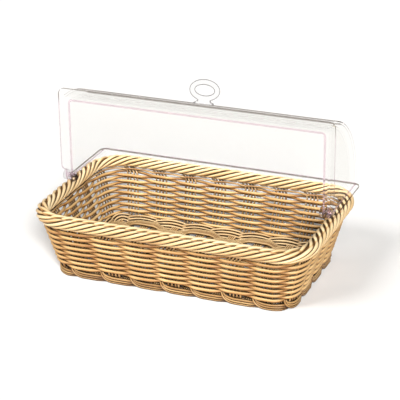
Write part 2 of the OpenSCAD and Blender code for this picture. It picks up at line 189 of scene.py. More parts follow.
def wire_coat():
    """Brown baked coat on steel wire, a little uneven."""
    coat = bpy.data.materials.new("brown_wire_coat")
    coat.use_nodes = True
    add, skin, links = node_maker(coat)
    where = add("TexCoord")
    spots = add("TexNoise", Vector=where.outputs["Object"], Scale=900.0, Detail=3.0)
    shade = add("ValToRGB", Fac=spots.outputs["Fac"])
    shade.color_ramp.elements[0].color = (0.055, 0.028, 0.012, 1)
    shade.color_ramp.elements[1].color = (0.13, 0.07, 0.03, 1)
    links.new(shade.outputs["Color"], skin.inputs["Base Color"])
    gloss = add("MapRange", Value=spots.outputs["Fac"], To_Min=0.3, To_Max=0.5)
    links.new(gloss.outputs["Result"], skin.inputs["Roughness"])
    lumps = add("Bump", Height=spots.outputs["Fac"], Strength=0.2, Distance=0.1 * mm)
    links.new(lumps.outputs["Normal"], skin.inputs["Normal"])
    return coat


wire_t = np.arange(groups * wire_steps) / wire_steps
wire_xy, wire_out = round_basket(foot_line, wire_t)
wire_z = np.full((len(wire_t), 1), (floor_wire_box[0].z + floor_wire_box[1].z) / 2)
wire_middle = np.concatenate([wire_xy - wire_out * wire_to_foot, wire_z], 1)
floor_loop = lay_rods("floor_wire_loop", [(wire_middle, (0, 0, 1), floor_wire_r, 0.5, True)], wire_sides)
brown_coat = wire_coat()
floor_loop.data.materials.append(brown_coat)
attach(floor_loop, "basket")
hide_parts("floor_wire")

# ---- Floor stakes ----
# Straight canes of extruded plastic, honey coloured, 2.6 mm thick. They lie from front to back in
# eight groups of four, in line with the wall's groups, and their ends rest on the floor wire.

luck = np.random.default_rng(7)
stake_groups_front = [20, 21, 22, 23, 0, 1, 2, 3]
fours = (-1.5, -0.5, 0.5, 1.5)
floor_stake_step = 2.9 * mm
corner_from_x = 140 * mm
corner_slope = 0.55
wander = 0.12 * mm


def cane_skin(name, pale, middle, deep, hollow, alone=False):
    """Extruded plastic cane: fine streaks along it, slow changes of colour, a soft gloss and painted shade.
    hollow is how open a place must be before the painted shade in the hollows starts to thin out, and before
    it is gone."""
    streaks, shine = 0.5, 0.42
    hollow_reach = 7 * mm
    cane = bpy.data.materials.new(name)
    cane.use_nodes = True
    add, skin, links = node_maker(cane)
    tone = add("Attribute", _attribute_name="tone")
    grain = add("Attribute", _attribute_name="grain")
    fine_at = add("Mapping", Vector=grain.outputs["Vector"], Scale=(1150, 1150, 42))
    fine = add("TexNoise", Vector=fine_at.outputs["Vector"], Scale=1.0, Detail=3.0, Roughness=0.62)
    slow_at = add("Mapping", Vector=grain.outputs["Vector"], Scale=(160, 160, 16))
    slow = add("TexNoise", Vector=slow_at.outputs["Vector"], Scale=1.0, Detail=2.0)
    lively = add("Math", _operation="MULTIPLY_ADD", i0=fine.outputs["Fac"], i1=streaks, i2=-streaks / 2)
    drift = add("Math", _operation="MULTIPLY_ADD", i0=slow.outputs["Fac"], i1=0.7, i2=-0.35)
    both = add("Math", _operation="ADD", i0=lively.outputs[0], i1=drift.outputs[0])
    # Painted light and shade: the upper side is painted paler and the underside darker, as light falls from
    # above
    lit = add("SeparateXYZ", Vector=add("NewGeometry").outputs["Normal"])
    painted_light_by_facing = add("MapRange", Value=lit.outputs["Z"], From_Min=-1.0, From_Max=1.0, To_Min=-0.5, To_Max=0.3)
    toned = add("Math", _operation="ADD", i0=tone.outputs["Fac"], i1=painted_light_by_facing.outputs["Result"])
    total = add("Math", _operation="ADD", i0=both.outputs[0], i1=toned.outputs[0])
    shade = add("ValToRGB", Fac=total.outputs[0])
    ramp = shade.color_ramp
    ramp.elements[0].position, ramp.elements[0].color = 0.12, (*deep, 1)
    ramp.elements[1].position, ramp.elements[1].color = 0.88, (*pale, 1)
    ramp.elements.new(0.5).color = (*middle, 1)
    # Painted shade: the colour darkens towards near black in the hollows between the canes, where shade
    # falls
    open_air = add("AmbientOcclusion", Distance=hollow_reach, _samples=6, _only_local=alone)
    unshaded = add("MapRange", Value=open_air.outputs["AO"], From_Min=hollow[0], From_Max=hollow[1])
    painted_crevice_shade = add("Mix", _data_type="RGBA", Factor=unshaded.outputs["Result"])
    dark, bright = [socket for socket in painted_crevice_shade.inputs if socket.type == "RGBA"][:2]
    dark.default_value = (*[c * 0.12 for c in deep], 1)
    links.new(shade.outputs["Color"], bright)
    mixed = [socket for socket in painted_crevice_shade.outputs if socket.type == "RGBA"][0]
    links.new(mixed, skin.inputs["Base Color"])
    gloss = add("MapRange", Value=fine.outputs["Fac"], To_Min=shine - 0.1, To_Max=shine + 0.14)
    links.new(gloss.outputs["Result"], skin.inputs["Roughness"])
    ribs = add("Bump", Height=fine.outputs["Fac"], Strength=0.35, Distance=0.25 * mm)
    links.new(ribs.outputs["Normal"], skin.inputs["Normal"])
    skin.inputs["IOR"].default_value = 1.47
    return cane


stake_skin = cane_skin("stake_cane", (0.66, 0.46, 0.24), (0.46, 0.27, 0.11), (0.25, 0.115, 0.035),
                       (0.36, 0.78))

floor_stake_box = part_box("floor_stakes")
floor_stake_r = (floor_stake_box[1].z - floor_stake_box[0].z) / 2
floor_stake_z = floor_stake_box[0].z + floor_stake_r
floor_stake_x = round_basket(foot_line, np.array(stake_groups_front) + 0.5)[0][:, 0]
rods = []
for x0 in floor_stake_x:
    for j in fours:
        x = x0 + j * floor_stake_step
        reach = floor_stake_box[1].y - max(0, abs(x) - corner_from_x) * corner_slope
        y = np.linspace(-reach, reach, 40)
        wave = luck.normal(0, wander, 2)
        line = np.stack([x + wave[0] * np.sin(y * 40), y, floor_stake_z + wave[1] * np.cos(y * 30)], 1)
        rods.append((line, (1, 0, 0), floor_stake_r, luck.uniform(0.3, 0.7), False))
floor_ribs = lay_rods("floor_stake_ribs", rods)
floor_ribs.data.materials.append(stake_skin)
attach(floor_ribs, "basket")
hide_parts("floor_stakes")

# ---- Floor canes ----
# Ten rows of four plastic canes side by side, 2.8 mm thick, woven from end to end over one group of
# floor stakes and under the next. Their ends lie on top of the floor wire.

floor_cane_r = 1.4 * mm
floor_rows = 10
floor_cane_step = 3.5 * mm
floor_half_y = 80 * mm
floor_row_y = (floor_half_y - fours[-1] * floor_cane_step) / (floor_rows / 2 - 0.5)
floor_rise = 3.2 * mm
floor_sway = 0.15 * mm
floor_crest = 1.35
floor_pitch = 43.4 * mm
end_gap = 1.5 * mm
end_corner_y = 68 * mm
end_slope = 0.4
slope_from_x, slope_l = 154 * mm, 6 * mm
over_wire_z = 8.6 * mm

floor_cane_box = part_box("floor_canes")
rods = []
for row in range(floor_rows):
    for j in fours:
        y = (row - (floor_rows - 1) / 2) * floor_row_y + j * floor_cane_step
        reach = floor_cane_box[1].x - end_gap - end_slope * max(0, abs(y) - end_corner_y)
        x = np.linspace(-reach, reach, 150)
        # How many stake groups from the left a point is
        place = np.interp(x, floor_stake_x, np.arange(len(floor_stake_x)))
        place = place + np.minimum(x - floor_stake_x[0], 0) / floor_pitch
        place = place + np.maximum(x - floor_stake_x[-1], 0) / floor_pitch
        swing = np.sin(math.pi / 2 * np.clip(floor_crest * np.cos(math.pi * (place + row)), -1, 1))
        z = floor_stake_z + floor_rise * swing
        on_wire = np.clip((np.abs(x) - slope_from_x) / slope_l, 0, 1)
        z = z * (1 - on_wire) + np.maximum(z, over_wire_z) * on_wire
        y = y + luck.normal(0, wander) + floor_sway * np.sin(x * 25 + row)
        rods.append((np.stack([x, y, z], 1), (0, 1, 0), floor_cane_r, luck.uniform(0.25, 0.75), False))
floor_weave = lay_rods("floor_cane_weave", rods)
# Painted shade: the floor cane is painted darker than the weavers, for the shade on the floor inside the
# basket
floor_weave.data.materials.append(
    cane_skin("floor_cane", (0.56, 0.38, 0.175), (0.38, 0.215, 0.08), (0.18, 0.08, 0.022), (0.46, 0.92)))
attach(floor_weave, "basket")
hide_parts("floor_canes")

# ---- Wall stakes ----
# Upright plastic canes, 2.8 mm thick and a shade darker than the weave, in 24 groups of four. They
# rise from the foot border, spread a little at mid height, and lean over into the rim border.

group_shift = -0.35
stake_r = 1.4 * mm
stake_foot_z = 9.7 * mm
stake_head_z = 81 * mm
stake_step = 4.85 * mm
stake_spread = 0.3 * mm
stake_uneven = 0.25 * mm
stake_lean = 7 * mm
lean_from_z = 72 * mm
stake_sides = {"front": stake_groups_front, "right": [4, 5, 6, 7],
               "back": [8, 9, 10, 11, 12, 13, 14, 15], "left": [16, 17, 18, 19]}


def wall_points(t, z, out=0.0):
    """Points on the leaning wall at height z, moved outward, and the outward directions there."""
    t, z = np.broadcast_arrays(np.asarray(t, float), np.asarray(z, float))
    h = ((z - foot_line[3]) / (rim_line[3] - foot_line[3]))[..., None]
    low, low_out = round_basket(foot_line, t)
    high, high_out = round_basket(rim_line, t)
    way = low_out * (1 - h) + high_out * h
    way = way / np.linalg.norm(way, axis=-1, keepdims=True)
    flat = low * (1 - h) + high * h + way * np.broadcast_to(out, t.shape)[..., None]
    points = np.concatenate([flat, z[..., None]], -1)
    return points, np.concatenate([way, np.zeros_like(z)[..., None]], -1)


for side_name, members in stake_sides.items():
    rods = []
    for k in members:
        for j in fours:
            z = np.linspace(stake_foot_z, stake_head_z, 26)
            h = (z - z[0]) / (z[-1] - z[0])
            points, out = wall_points(k + 0.5 + group_shift, z)
            way = np.stack([-out[:, 1], out[:, 0], np.zeros(len(z))], 1)
            off = j * (stake_step + stake_spread * np.sin(math.pi * h)) + luck.normal(0, stake_uneven)
            lean = np.clip((z - lean_from_z) / (stake_head_z - lean_from_z), 0, 1) ** 1.4
            points = points + way * (off + stake_lean * lean)[:, None]
            rods.append((points, out, stake_r, luck.uniform(0.25, 0.75), False))
    stakes = lay_rods("stakes_" + side_name, rods)
    stakes.data.materials.append(stake_skin)
    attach(stakes, "basket")
    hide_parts(side_name + "_stakes")

# ---- Weavers ----
# Fifteen rows of honey coloured plastic cane, 3.6 mm thick and a little more where it runs free. A row
# passes outside one group of stakes and inside the next, and the row below it does the opposite.

weaver_rows = sum(name.startswith("weaver_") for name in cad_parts)
weaver_r, weaver_r_free = 1.8 * mm, 2.15 * mm
weaver_out = 3.2 * mm
weaver_flat = 0.19
weaver_steps = 16
weaver_sway = 0.3 * mm
weaver_uneven = 0.06 * mm
weaver_skin = cane_skin("weaver_cane", (0.74, 0.50, 0.235), (0.50, 0.285, 0.10), (0.25, 0.105, 0.026),
                        (0.33, 0.66))

first_box, last_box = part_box("weaver_01"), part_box(f"weaver_{weaver_rows:02d}")
first_z = (first_box[0].z + first_box[1].z) / 2
row_rise = ((last_box[0].z + last_box[1].z) / 2 - first_z) / (weaver_rows - 1)
weaver_t = np.arange(groups * weaver_steps) / weaver_steps + 0.01
round_turn = weaver_t * 2 * math.pi / groups
sway = weaver_sway * (np.sin(round_turn * 3 + 0.7) + 0.5 * np.sin(round_turn * 7))
for row in range(1, weaver_rows + 1):
    k = np.floor(weaver_t - group_shift)
    away = np.abs(weaver_t - (k + 0.5 + group_shift))
    side = np.where((k + row) % 2 == 0, 1.0, -1.0)
    swing = np.sin(math.pi / 2 * np.clip((0.5 - away) / (0.5 - weaver_flat), 0, 1)) * side
    bumps = np.append(luck.normal(0, weaver_uneven, groups), 0)
    z = first_z + (row - 1) * row_rise + np.interp(weaver_t, np.arange(groups + 1), bumps)
    points, out = wall_points(weaver_t, z + sway * (row / weaver_rows), weaver_out * swing)
    # Painted shade: darker where it dives between the stakes. Painted light: paler at the start of each bow
    # than at its end
    free = np.abs(swing)
    tone = luck.uniform(0.35, 0.65) - 0.3 * (1 - free) ** 2
    tone = tone + 0.3 * (0.5 - (weaver_t - group_shift - k)) * free
    radius = weaver_r + (weaver_r_free - weaver_r) * free ** 0.8
    woven = lay_rods(f"woven_row_{row:02d}", [(points, (0, 0, 1), radius, tone, True)], 10)
    woven.data.materials.append(weaver_skin)
    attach(woven, "basket")
    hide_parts(f"weaver_{row:02d}")

# ---- Foot border ----
# The lower ends of the stakes, three canes side by side, 3 mm thick. Each set comes down outside the
# wall, turns along the counter, passes outside the next group and is tucked in behind the one after.

foot_cane_r = 1.5 * mm
foot_start = 0.757
foot_fan = 0.03
foot_turn = 0.42
foot_reach = 1.62
foot_head = 14.2 * mm
foot_step = 3.25 * mm
foot_tuck_rise = 2.6 * mm
foot_nest = 1.9 * mm
foot_flat_steps = 30
# How far outside the foot line a cane lies, in mm, at these places along it
foot_out_at = [0, 0.05, 0.12, 0.3, 0.86, 1.2, foot_reach]
foot_out = [1.0, 1.6, 1.75, 1.75, 1.75, -1.75, -1.75]
# Painted shade: the foot cane is painted darker than the stakes it is made of, for the shade low by the
# counter
foot_skin = cane_skin("foot_cane", (0.54, 0.35, 0.15), (0.37, 0.20, 0.065), (0.15, 0.065, 0.018),
                      (0.5, 0.84))

for side_name, members in stake_sides.items():
    rods = []
    for k in members:
        for j in (-1, 0, 1):
            # Down outside the wall on a quarter of an ellipse, then along the counter
            low = foot_cane_r + (j + 1) * foot_step
            a = np.linspace(0, math.pi / 2, 16)
            flat = np.linspace(foot_turn + 0.04, foot_reach, foot_flat_steps)
            along = np.concatenate([foot_turn * (1 - np.cos(a)), flat])
            z = np.concatenate([low + (foot_head - low) * (1 - np.sin(a)), np.full(foot_flat_steps, low)])
            # The upper canes rise a little where they pass over the next set
            z = z + (0.5 + 0.5 * j) * foot_tuck_rise * np.sin(math.pi * np.clip((along - 1.1) / 0.55, 0, 1))
            # The middle cane starts further in than its neighbours
            out = np.interp(along, foot_out_at, foot_out) * mm
            out = out - (1 - abs(j)) * foot_nest * np.clip(1 - along / 0.13, 0, 1)
            xy, way = round_basket(foot_line, k + foot_start + foot_fan * j + along)
            line = np.concatenate([xy + way * out[:, None], z[:, None]], 1)
            way = np.concatenate([way, np.zeros((len(z), 1))], 1)
            # Painted shade: each cane darkens towards its end, where it goes in behind the next set
            tone = luck.uniform(0.35, 0.7) - 0.25 * np.clip((along - 0.8) / 0.2, 0, 1)
            rods.append((line, way, foot_cane_r, tone, False))
    border = lay_rods("foot_border_" + side_name, rods)
    border.data.materials.append(foot_skin)
    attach(border, "basket")
    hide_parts(side_name + "_foot_loops")

# ---- Inner border ----
# Sets of four canes, 3.2 mm thick, in the corner between floor and wall. Each set arches from one
# group of stakes to the next, and its end is tucked under the set that follows.

inner_r = 1.6 * mm
inner_set = 4
inner_start = 1.36
inner_reach = 1.34
inner_first = (5.6 * mm, 11.9 * mm)
inner_step = (4.1 * mm, -2.6 * mm)
inner_arch = 5.5 * mm
inner_drift = (1.3 * mm, 3.0 * mm)
counter_gap = 0.2 * mm

inner_share = np.linspace(0, 1, 26)
inner_bow = inner_arch * (np.sin(math.pi * inner_share) ** 0.9 - 0.5)
rods = []
for k in range(groups):
    for j in range(inner_set):
        inward = inner_first[0] + j * inner_step[0] + inner_drift[0] - inner_drift[1] * inner_share
        z = inner_first[1] + j * inner_step[1] + inner_bow + luck.normal(0, wander)
        z = np.maximum(z, inner_r + counter_gap)
        xy, way = round_basket(foot_line, k + inner_start - inner_reach * inner_share)
        line = np.concatenate([xy - way * inward[:, None], z[:, None]], 1)
        way = np.concatenate([way, np.zeros((len(z), 1))], 1)
        # Painted shade: each cane darkens at its end, where it is tucked under the next set
        tone = luck.uniform(0.45, 0.75) - 0.3 * np.clip((inner_share - 0.75) / 0.2, 0, 1)
        rods.append((line, way, inner_r, tone, False))
inner_border = lay_rods("inner_border", rods)
inner_border.data.materials.append(
    cane_skin("inner_border_cane", (0.74, 0.53, 0.28), (0.50, 0.30, 0.125), (0.22, 0.095, 0.028),
              (0.56, 0.92)))
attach(inner_border, "basket")

# ---- Rim wire ----
# The second loop of coated steel wire. It runs through the middle of the rim border and holds the
# basket's mouth in shape.

rim_wire_xy = round_basket(rim_line, wire_t)[0]
rim_wire_middle = np.concatenate([rim_wire_xy, np.full((len(wire_t), 1), rim_z)], 1)
rim_loop = lay_rods("rim_wire_loop", [(rim_wire_middle, (0, 0, 1), rim_wire_r, 0.5, True)], wire_sides)
rim_loop.data.materials.append(brown_coat)
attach(rim_loop, "basket")
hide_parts("rim_wire")

# ---- Rim border ----
# The upper ends of the stakes, plaited round the wire like an ear of wheat. From each group three
# canes, 4.6 mm thick, climb over the outside of the roll and three over its inside. They meet in a
# seam on top, where each cane's end dives under the next.

rim_cane_r = 2.3 * mm
rim_set = 3
rim_set_step = 0.325
rim_step_uneven, rim_uneven = 0.012, 0.08 * mm
seam = 58.0
# Painted light: the rim cane is painted paler than the stakes it is made of, for the light on top of the
# roll
rim_skin = cane_skin("rim_cane", (0.84, 0.66, 0.40), (0.68, 0.46, 0.22), (0.38, 0.20, 0.07), (0.5, 0.8),
                     alone=True)
rim_share = np.linspace(0, 1, 44)
rim_taper = np.interp(rim_share, [0, 0.15, 0.8, 1], [0.75, 1, 1, 0.6])
# Painted shade: each cane darkens at its end, where it dives under the next in the seam
rim_dive_shade = 0.9 * np.clip((rim_share - 0.88) / 0.08, 0, 1)
# For each half of the plait: the nodes it stands for; how many groups a cane spans; and, against the
# share of the cane's length, its turn in degrees from outward over the top and its distance from the
# wire in mm
plait = {
    "outside": (("rim_strand_1", "rim_strand_2"), 1.38, ([0, 0.9, 1], [-105, seam - 3, seam + 12]),
                ([0, 0.1, 0.6, 0.86, 0.93, 1], [6.6, 7.4, 7.45, 7.4, 6.3, 4.4])),
    "inside": (("rim_strand_3", "rim_strand_4"), -1.2, ([0, 0.7, 0.92, 1], [225, 120, seam + 6, seam - 12]),
               ([0, 0.15, 0.5, 0.85, 0.92, 1], [5.8, 7.4, 7.5, 7.45, 6.4, 4.4])),
}


def rim_cane(number, span, turns, radii):
    """Middle line of one cane of the plait, and its directions away from the wire."""
    soften = np.ones(5) / 5
    angle = np.pad(np.radians(np.interp(rim_share, *turns)), 2, mode="reflect", reflect_type="odd")
    angle = np.convolve(angle, soften, mode="valid")
    r = np.pad(np.interp(rim_share, *radii) * mm, 2, mode="edge")
    r = np.convolve(r, soften, mode="valid")
    place = number // rim_set + number % rim_set * rim_set_step + luck.normal(0, rim_step_uneven)
    xy, way = round_basket(rim_line, place + span * rim_share)
    line = np.concatenate([xy + way * (r * np.cos(angle))[:, None], (rim_z + r * np.sin(angle))[:, None]], 1)
    out = np.concatenate([way * np.cos(angle)[:, None], np.sin(angle)[:, None]], 1)
    return line + out * luck.normal(0, rim_uneven), out


for side_name, (nodes, span, turns, radii) in plait.items():
    rods = []
    for number in range(groups * rim_set):
        line, out = rim_cane(number, span, turns, radii)
        rods.append((line, out, rim_cane_r * rim_taper, luck.uniform(0.4, 0.7) - rim_dive_shade, False))
    rim_half = lay_rods("rim_plait_" + side_name, rods)
    rim_half.data.materials.append(rim_skin)
    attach(rim_half, "basket")
    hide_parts(*nodes)

# ---- Canes under the rim ----
# Thin ends of stakes that bend over below the roll, inside the wall, two to each group. They are
# extruded plastic like the stakes, 2.7 mm thick.

under_r = 1.35 * mm
under_z = 76.2 * mm
under_reach = 1.12
under_start, under_step = 0.2, 0.1
under_bow, under_bow_step = 1.5 * mm, 0.8 * mm
under_in, under_in_step = 4.2 * mm, 1.2 * mm

under_along = np.linspace(0, under_reach, 18)
rods = []
for k in range(groups):
    for j in (0, 1):
        xy, way = round_basket(rim_line, k + under_start + j * under_step + under_along)
        z = under_z + (under_bow + j * under_bow_step) * np.sin(math.pi * under_along / under_reach)
        line = np.concatenate([xy - way * (under_in + j * under_in_step), z[:, None]], 1)
        rods.append((line, (0, 0, 1), under_r, 0.75 - 0.5 * under_along, False))
rim_under = lay_rods("rim_under_canes", rods)
rim_under.data.materials.append(stake_skin)
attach(rim_under, "basket")

# ---- Core of the rim ----
# Eight canes, 3 mm thick, that run round inside the plait and pad it out from the wire. They are painted
# near black as painted shade, and show only as the dark bottom of the gaps between the plaited canes.

core_cane_r = 1.5 * mm
core_line = 3.7 * mm
core_canes = 8
core_steps = 6
core_xy, core_way = round_basket(rim_line, np.arange(groups * core_steps) / core_steps)
rods = []
for a in np.linspace(0, 2 * math.pi, core_canes, endpoint=False):
    z = np.full((len(core_xy), 1), rim_z + core_line * math.sin(a))
    line = np.concatenate([core_xy + core_way * core_line * math.cos(a), z], 1)
    rods.append((line, (0, 0, 1), core_cane_r, luck.uniform(0.3, 0.7), True))
rim_core = lay_rods("rim_core_canes", rods)
rim_core.data.materials.append(
    cane_skin("rim_core_cane", (0.16, 0.08, 0.03), (0.10, 0.045, 0.016), (0.05, 0.022, 0.008),
              (0.3, 0.75), alone=True))
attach(rim_core, "basket")

# ---- Rear shell ----
# One clear acrylic moulding, 3 mm thick: a quarter drum with flat ends. Its flange lies on the back
# half of the rim, and it stays there when the front shell rolls back over it.

wall = 3 * mm
corner_r = 6 * mm
lip_corner_r = 9 * mm
lip_face = 5.2 * mm
lip_end, lip_fade = 10 * mm, 6 * mm
soft_edge = 0.55 * mm
bore_r = 3.06 * mm
ear_r = 7.6 * mm
heel = 8.2 * mm
corner_turns = np.radians(np.linspace(0, 90, 9))
drum_steps = 72
axis_z = (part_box("pivot_pins")[0].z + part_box("pivot_pins")[1].z) / 2


def clear_plastic(name, tint, rough, graze, shade_line):
    """Clear polished acrylic: it takes away a little light and shines with its surface. graze is how far
    a surface must turn from the eye before its painted shade starts, and before it has the colour of
    shade_line."""
    clear = bpy.data.materials.new(name)
    clear.use_nodes = True
    add, skin, links = node_maker(clear)
    where = add("TexCoord")
    ripple = add("TexNoise", Vector=where.outputs["Object"], Scale=14.0, Detail=2.0)
    colour = add("ValToRGB", Fac=ripple.outputs["Fac"])
    colour.color_ramp.elements[0].color = (*[c * 0.985 for c in tint], 1)
    colour.color_ramp.elements[1].color = (*tint, 1)
    # Painted shade: the colour is darkened where the moulding is seen along its own sheet, for the dark
    # lines that refraction draws at its edges
    facing = add("LayerWeight", Blend=0.5)
    grazing = add("MapRange", Value=facing.outputs["Facing"], From_Min=graze[0], From_Max=graze[1])
    painted_graze_shade = add("Mix", _data_type="RGBA", Factor=grazing.outputs["Result"])
    plain, line = [socket for socket in painted_graze_shade.inputs if socket.type == "RGBA"][:2]
    links.new(colour.outputs["Color"], plain)
    line.default_value = (*shade_line, 1)
    mixed = [socket for socket in painted_graze_shade.outputs if socket.type == "RGBA"][0]
    links.new(mixed, skin.inputs["Base Color"])
    gloss = add("MapRange", Value=ripple.outputs["Fac"], To_Min=rough * 0.6, To_Max=rough * 1.4)
    links.new(gloss.outputs["Result"], skin.inputs["Roughness"])
    skin.inputs["Transmission Weight"].default_value = 1.0
    skin.inputs["IOR"].default_value = 1.01
    skin.inputs["Coat Weight"].default_value = 0.06
    skin.inputs["Coat Roughness"].default_value = 0.03
    skin.inputs["Coat IOR"].default_value = 1.4
    # Lamps shine through it
    lamp = add("LightPath")
    through = add("BsdfTransparent", Color=(0.95, 0.95, 0.955, 1))
    mix = add("MixShader", i0=lamp.outputs["Is Shadow Ray"], i1=skin.outputs["BSDF"],
              i2=through.outputs["BSDF"])
    links.new(mix.outputs["Shader"], clear.node_tree.nodes["Material Output"].inputs["Surface"])
    return clear


def cut_edge(name, pale_z, dark_z):
    """The polished edge of the moulding, with painted reflection and shade: pale mauve at one height above
    the axis, dark at the other.
    """
    edge = bpy.data.materials.new(name)
    edge.use_nodes = True
    add, skin, links = node_maker(edge)
    place = add("TexCoord").outputs["Object"]
    where = add("SeparateXYZ", Vector=place)
    # Painted reflection and shade: the edge goes from pale mauve to dark with height, for the lines the edge
    # shows by refraction
    high = add("MapRange", Value=where.outputs["Z"], From_Min=axis_z + pale_z, From_Max=axis_z + dark_z)
    flecks = add("TexNoise", Vector=place, Scale=260.0, Detail=3.0)
    fleck = add("MapRange", Value=flecks.outputs["Fac"], To_Min=-0.25, To_Max=0.25)
    level = add("Math", _operation="ADD", i0=high.outputs["Result"], i1=fleck.outputs["Result"])
    shade = add("ValToRGB", Fac=level.outputs[0])
    shade.color_ramp.elements[0].color = (0.66, 0.50, 0.57, 1)
    shade.color_ramp.elements[1].color = (0.16, 0.13, 0.11, 1)
    links.new(shade.outputs["Color"], skin.inputs["Base Color"])
    gloss = add("MapRange", Value=flecks.outputs["Fac"], To_Min=0.1, To_Max=0.3)
    links.new(gloss.outputs["Result"], skin.inputs["Roughness"])
    skin.inputs["Transmission Weight"].default_value = 0.85
    skin.inputs["IOR"].default_value = 1.03
    return edge


def ear(first, last):
    """Part of the round ear about the pin, between two turns in degrees."""
    return [(ear_r * math.cos(a), ear_r * math.sin(a)) for a in np.radians(np.linspace(first, last, 15))]


def lip_corner(half_x, far, a):
    """A point on the rounded outer corner of the lip."""
    x = half_x - lip_corner_r + lip_corner_r * math.cos(a)
    return x, far - lip_corner_r + lip_corner_r * math.sin(a)


def shell_sheet(name, half_x, r, lip_x, lip_far, plain, foot, place):
    """Outer skin of a shell, made solid by its modifiers. Each point is (x, p, q): the lip lies in the
    plane p = -lip_face, and the plain edge in the plane q = -plain. lip_x and lip_far are how far the lip
    reaches from the middle, foot is the outline near the axis from the plain edge to the lip, and place
    turns a point into its spot in the room."""
    mesh = bmesh.new()
    # The drum: its profile from end to end, swept round the axis
    profile = [(half_x - corner_r + corner_r * math.cos(a), r - corner_r + corner_r * math.sin(a))
               for a in corner_turns]
    middle = [(x, r) for x in np.linspace(half_x - corner_r, corner_r - half_x, 25)[1:-1]]
    profile = profile + middle + [(-x, d) for x, d in profile[::-1]]
    grid = []
    for x, d in profile:
        low, high = -math.asin(plain / d), math.pi / 2 + math.asin(lip_face / d)
        arc = low + (high - low) * np.arange(drum_steps + 1) / drum_steps
        grid.append([mesh.verts.new(place(x, d * math.cos(a), d * math.sin(a))) for a in arc])
    faces = []
    for a, b in zip(grid[:-1], grid[1:]):
        for j in range(drum_steps):
            faces.append(mesh.faces.new((a[j], b[j], b[j + 1], a[j + 1])))
    # The lip along the edge of the drum
    rims = [row[-1] for row in grid]
    outer = []
    for i, (x, d) in enumerate(profile):
        if i < len(corner_turns):
            px, pq = lip_corner(lip_x, lip_far, corner_turns[i])
        elif i >= len(profile) - len(corner_turns):
            px, pq = lip_corner(lip_x, lip_far, corner_turns[len(profile) - 1 - i])
            px = -px
        else:
            px, pq = x * (lip_x - lip_corner_r) / (half_x - corner_r), lip_far
        outer.append(mesh.verts.new(place(px, -lip_face, pq)))
    for i in range(len(rims) - 1):
        faces.append(mesh.faces.new((rims[i], rims[i + 1], outer[i + 1], outer[i])))
    for sign, end, row in ((1, 0, grid[0]), (-1, -1, grid[-1])):
        # The lip along the side plate, which fades out near the pin
        q_top = math.sqrt(profile[end][1] ** 2 - lip_face ** 2)
        q_list = np.linspace(q_top, lip_end + lip_fade, 12)[1:]
        q_list = np.append(q_list, lip_end + np.array([4, 2, 0.8, 0.1]) * mm)
        edge, edge_out = [row[-1]], [outer[end]]
        for q in q_list:
            faded = max(0.0, 1 - (q - lip_end) / lip_fade)
            width = (lip_x - half_x) * math.sqrt(1 - faded ** 2)
            edge.append(mesh.verts.new(place(sign * half_x, -lip_face, q)))
            edge_out.append(mesh.verts.new(place(sign * (half_x + width), -lip_face, q)))
        for a, b, c, d in zip(edge[:-1], edge[1:], edge_out[1:], edge_out[:-1]):
            faces.append(mesh.faces.new((a, d, c, b) if sign > 0 else (a, b, c, d)))
        # The side plate: its outline, with a hole for the pin
        outline = row[:] + edge[1:] + [mesh.verts.new(place(sign * half_x, p, q)) for p, q in foot]
        hole = [mesh.verts.new(place(sign * half_x, bore_r * math.cos(a), bore_r * math.sin(a)))
                for a in np.linspace(0, 2 * math.pi, 24, endpoint=False)]
        edges = [mesh.edges.get((a, b)) or mesh.edges.new((a, b))
                 for ring in (outline, hole) for a, b in zip(ring, ring[1:] + ring[:1])]
        filled = bmesh.ops.triangle_fill(mesh, use_beauty=True, use_dissolve=False, edges=edges)
        for face in [f for f in filled["geom"] if isinstance(f, bmesh.types.BMFace)]:
            face.normal_update()
            if face.normal.x * sign < 0:
                face.normal_flip()
    for face in faces:
        face.normal_update()
    # The drum and the lip have to face outward, as the thickness is added inward
    top_face = grid[len(grid) // 2][drum_steps // 2].link_faces[0]
    outward = top_face.calc_center_median() - Vector((0, 0, axis_z))
    outward.x = 0
    if top_face.normal.dot(outward) < 0:
        for face in faces:
            face.normal_flip()
    data = bpy.data.meshes.new(name)
    mesh.to_mesh(data)
    mesh.free()
    data.shade_smooth()
    shell = bpy.data.objects.new(name, data)
    bpy.context.scene.collection.objects.link(shell)
    thick = shell.modifiers.new("thickness", "SOLIDIFY")
    thick.thickness, thick.offset, thick.use_even_offset = wall, -1, True
    thick.material_offset_rim = 1
    soft = shell.modifiers.new("soft_edges", "BEVEL")
    soft.width, soft.segments = soft_edge, 2
    soft.limit_method, soft.angle_limit = "ANGLE", math.radians(50)
    level = shell.modifiers.new("level_normals", "WEIGHTED_NORMAL")
    level.keep_sharp = True
    return shell


rear_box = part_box("rear_shell")
rear_half_x = 184 * mm
rear_r = 113.5 * mm
rear_plain = 5 * mm
rear_cut = math.degrees(math.asin(rear_plain / ear_r))
rear_foot = [(-heel, lip_end), (-heel, -rear_plain)] + ear(180 + rear_cut, 360 - rear_cut)
rear_cover = shell_sheet("rear_cover_moulding", rear_half_x, rear_r, rear_box[1].x, rear_box[1].y,
                         rear_plain, rear_foot, lambda x, p, q: (x, q, axis_z + p))
rear_cover.data.materials.append(
    clear_plastic("rear_acrylic", (0.985, 0.985, 0.98), 0.02, (0.88, 0.96), (0.72, 0.67, 0.66)))
rear_cover.data.materials.append(cut_edge("rear_acrylic_edge", 5 * mm, -3 * mm))
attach(rear_cover, "rear_cover")
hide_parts("rear_shell")

# ---- Front shell ----
# The second clear acrylic moulding, a little larger, with a lip round its front edge. It turns on two
# pins, and here it is rolled back over the rear shell.

